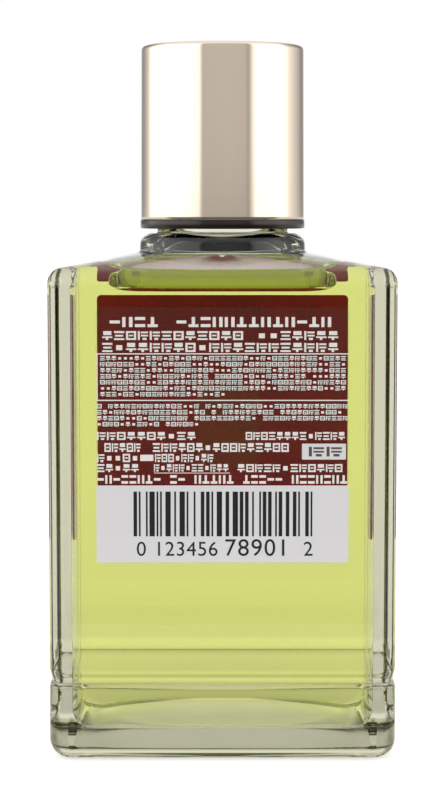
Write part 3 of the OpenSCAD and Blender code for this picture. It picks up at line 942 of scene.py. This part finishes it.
def make_digits(name, text, left, low, size, pitch, face_y, material):
    """Upright digits of this height, a pitch apart, as thin ink on the plane y = face_y."""
    points, faces = [], []
    for k, digit in enumerate(text):
        curve = bpy.data.curves.new(name, "FONT")
        curve.body = digit
        curve.align_x = "CENTER"
        curve.extrude = 0.5
        holder = bpy.data.objects.new(name + "_outline", curve)
        outline = bpy.data.meshes.new_from_object(holder)
        co = np.empty(len(outline.vertices) * 3)
        outline.vertices.foreach_get("co", co)
        co = co.reshape(-1, 3)
        co[:, :2] *= size / 0.68
        first = sum(len(p) for p in points)
        points.append(np.stack([
            co[:, 0] + left + pitch * (k + 0.5), face_y - 0.0075 - co[:, 2] * 0.015, co[:, 1] + low], -1))
        faces += [[first + v for v in polygon.vertices] for polygon in outline.polygons]
        bpy.data.objects.remove(holder)
        bpy.data.curves.remove(curve)
        bpy.data.meshes.remove(outline)
    mesh = build_mesh(name, np.vstack(points), faces, smooth=False)
    return new_piece(name, mesh, "bottle", (), [material])


def make_front_label(glued, face_paper, foil):
    """Burgundy front label: paper, a double foil frame, and a plain foil lozenge between two rules."""
    body, slot = "bottle", "front_label"
    low, high = FRONT_LOW[[0, 2]], FRONT_HIGH[[0, 2]]
    back = FLASK_HALF[1] + AIR
    face = back + 0.05
    slots = [0] + [1] * 37
    mesh = sheet("front_paper", low, high, 0.8, back, face, slots)
    new_piece("front_paper", mesh, body, ["front_label"], [glued, face_paper])
    bars = frame_bars(low + 1.2, high - 1.2, 0.5) + frame_bars(low + 2.1, high - 2.1, 0.18)
    middle = (low + high) / 2
    for dz in (-9.5, 9.5):
        bars += [((middle[0] - 14, middle[1] + dz - 0.15), (middle[0] + 14, middle[1] + dz + 0.15))]
    ink_on("front_foil", bars, face, 1, INK, body, foil)
    make_lozenge(middle, face, body, foil)


def make_lozenge(middle, face, body, material):
    """Two nested lozenge outlines with slightly hollow sides.

    The outline is (w s^3, h c^3) blended half and half with the straight lozenge, where c and s
    are the cosine and sine of the angle.
    """
    t = np.arange(96) * 2 * np.pi / 96
    c, s = np.cos(t), np.sin(t)
    straight = np.stack([c, s], -1) / (np.abs(c) + np.abs(s))[:, None]
    hollow = np.stack([c ** 3, s ** 3], -1)
    shape = (straight + hollow) / 2
    points, faces = [], []
    for k, (outer, width) in enumerate([(7.2, 0.55), (5.6, 0.25)]):
        rings = []
        for scale in (outer, outer - width):
            xz = shape * scale * np.array([0.8, 1.0]) + middle
            for y in (face, face + INK):
                rings.append(np.insert(xz, 1, y, axis=1))
        first = k * 4 * 96
        points += rings
        i = np.arange(96)
        j = (i + 1) % 96
        for p, q in ((1, 3), (3, 2), (2, 0), (0, 1)):
            a, b = first + p * 96, first + q * 96
            faces += np.stack([a + i, b + i, b + j, a + j], -1).tolist()
    mesh = build_mesh("foil_lozenge", np.vstack(points), faces, smooth=False)
    return new_piece("foil_lozenge", mesh, body, (), [material])


# ---------------------------------------------------------------- stage, light and camera


def math_node(tree, operation, *values):
    """Output of a Math node on these constants or sockets."""
    return add_node(tree, "Math", dict(enumerate(values)), operation=operation).outputs[0]


def make_world():
    """White backdrop, a large soft box on each side, and a dimmer room on the camera's side.

    Brightness follows the direction's azimuth, 0 towards the camera, as a ramp from -180 to 180.
    """
    world = bpy.data.worlds.new("studio")
    bpy.context.scene.world = world
    world.use_nodes = True
    tree = world.node_tree
    tree.nodes.clear()
    way = add_node(tree, "SeparateXYZ", {0: add_node(tree, "TexCoord").outputs["Generated"]})
    azimuth = math_node(tree, "ARCTAN2", way.outputs[0], math_node(tree, "MULTIPLY", way.outputs[1], -1.0))
    place = math_node(tree, "MULTIPLY_ADD", azimuth, 1 / (2 * math.pi), 0.5)
    stops = [
        (-180, 1.07), (-168, 1.07), (-160, 0.36), (-146, 0.36), (-130, 0.8), (-118, 1.9), (-60, 2.1),
        (-33, 1.7), (-28, 0.55), (-24, 0.66), (0, 0.68), (32, 0.66), (37, 0.42), (41, 1.0), (48, 1.9),
        (95, 2.1), (108, 1.2), (120, 0.9), (146, 0.34), (160, 0.36), (168, 1.07), (180, 1.07),
    ]
    side = ramp(tree, place, [((a + 180) / 360, v / 2.5) for a, v in stops])
    side = math_node(tree, "MULTIPLY", side, 2.5)
    up = way.outputs[2]
    low_stops = [(-180, 0.95), (-105, 0.95), (-75, 0.12), (75, 0.12), (105, 0.95), (180, 0.95)]
    low_side = ramp(tree, place, [((a + 180) / 360, v) for a, v in low_stops])
    below = add_node(tree, "MapRange", {
        "Value": up, "From Min": -0.03, "From Max": 0.0, "To Min": 1.0, "To Max": 0.0,
    }).outputs[0]
    side = add_node(tree, "Mix", {"Factor": below, 2: side, 3: low_side}, data_type="FLOAT").outputs[0]
    behind = add_node(tree, "MapRange", {
        "Value": way.outputs[1], "From Min": 0.0, "From Max": 0.3, "To Min": 1.0, "To Max": 0.7,
    }).outputs[0]
    aloft = add_node(tree, "MapRange", {
        "Value": up, "From Min": 0.12, "From Max": 0.2, "To Min": 1.0, "To Max": behind,
    }, interpolation_type="SMOOTHSTEP").outputs[0]
    side = math_node(tree, "MULTIPLY", side, aloft)
    over = add_node(tree, "MapRange", {
        "Value": up, "From Min": 0.45, "From Max": 0.8, "To Min": 0.0, "To Max": 1.0,
    }, interpolation_type="SMOOTHSTEP").outputs[0]
    strength = add_node(tree, "Mix", {"Factor": over, 2: side, 3: 1.1}, data_type="FLOAT").outputs[0]
    seen = add_node(tree, "LightPath").outputs["Is Camera Ray"]
    strength = add_node(tree, "Mix", {"Factor": seen, 2: strength, 3: 1.0}, data_type="FLOAT").outputs[0]
    light = add_node(tree, "Background", {"Color": (1, 1, 1, 1), "Strength": strength})
    out = add_node(tree, "OutputWorld")
    tree.links.new(light.outputs[0], out.inputs[0])


def make_floor():
    """Pale floor, plain white where the camera sees it directly; seen through the glass it glows, with a
    painted shadow round the bottle.
    """
    size, edge = 3000.0, -150.0
    points = [(-size, edge, -0.05), (size, edge, -0.05), (size, size, -0.05), (-size, size, -0.05)]
    mesh = build_mesh("floor", points, [[0, 1, 2, 3]], smooth=False)
    material = bpy.data.materials.new("studio_floor")
    material.use_nodes = True
    tree = material.node_tree
    tree.nodes.clear()
    seen = add_node(tree, "LightPath").outputs["Is Camera Ray"]
    through = add_node(tree, "LightPath").outputs["Is Transmission Ray"]
    pale = add_node(tree, "BsdfDiffuse", {"Color": (0.72, 0.72, 0.72, 1)})
    away = add_node(tree, "VectorMath", {0: add_node(tree, "TexCoord").outputs["Object"]}, operation="LENGTH")
    # Painted shadow: through the glass the floor glows darkest in a ring round the bottle's base and
    # brightens to white 0.42 m away
    painted_shadow = ramp(tree, math_node(tree, "MULTIPLY", away.outputs["Value"], 1 / 0.42), [
        (0.0, 0.56), (0.054, 0.50), (0.075, 0.56), (0.112, 0.68), (0.2, 0.83), (0.41, 0.95), (1.0, 1.0)])
    painted_shadow_glow = add_node(tree, "Emission", {"Strength": painted_shadow})
    shown = add_node(tree, "MixShader", {0: through, 1: pale.outputs[0], 2: painted_shadow_glow.outputs[0]})
    lift = add_node(tree, "Emission", {"Strength": math_node(tree, "MULTIPLY", seen, 0.55)})
    both = add_node(tree, "AddShader", {0: shown.outputs[0], 1: lift.outputs[0]})
    tree.links.new(both.outputs[0], add_node(tree, "OutputMaterial").inputs[0])
    mesh.materials.append(material)
    floor = bpy.data.objects.new("floor", mesh)
    bpy.context.scene.collection.objects.link(floor)


def make_camera():
    """Camera square to the back of the flask, a little above its middle and tipped 5 degrees down."""
    data = bpy.data.cameras.new("camera")
    data.lens = 97.29
    data.sensor_width = 36
    data.clip_start = 0.01
    camera = bpy.data.objects.new("camera", data)
    camera.location = (0, -0.398, 0.0972)
    camera.rotation_euler = (math.radians(85), 0, 0)
    bpy.context.scene.collection.objects.link(camera)
    bpy.context.scene.camera = camera


# ---------------------------------------------------------------- the whole bottle

make_camera()
make_world()
make_floor()
bpy.context.scene.view_settings.view_transform = "Standard"

make_flask(make_flint_glass())
make_lotion_body(make_lotion())
make_plug(make_plug_plastic())
make_seal(make_seal_foam())
brown_plastic = make_inner_cap_plastic()
make_inner_cap(brown_plastic)
make_crown_webs(brown_plastic)
make_shell(make_shell_metal())
make_film_print(
    make_clear_film(), make_ink("white_panel_ink", "#E4E2E2", 0.5), make_ink("white_screen_ink", "#F4EDE8"),
    make_ink("black_screen_ink", "#0C0A0A"), make_ink("brown_screen_ink", "#5A4A42"))
make_front_label(make_label_back(), make_label_face(), make_foil())
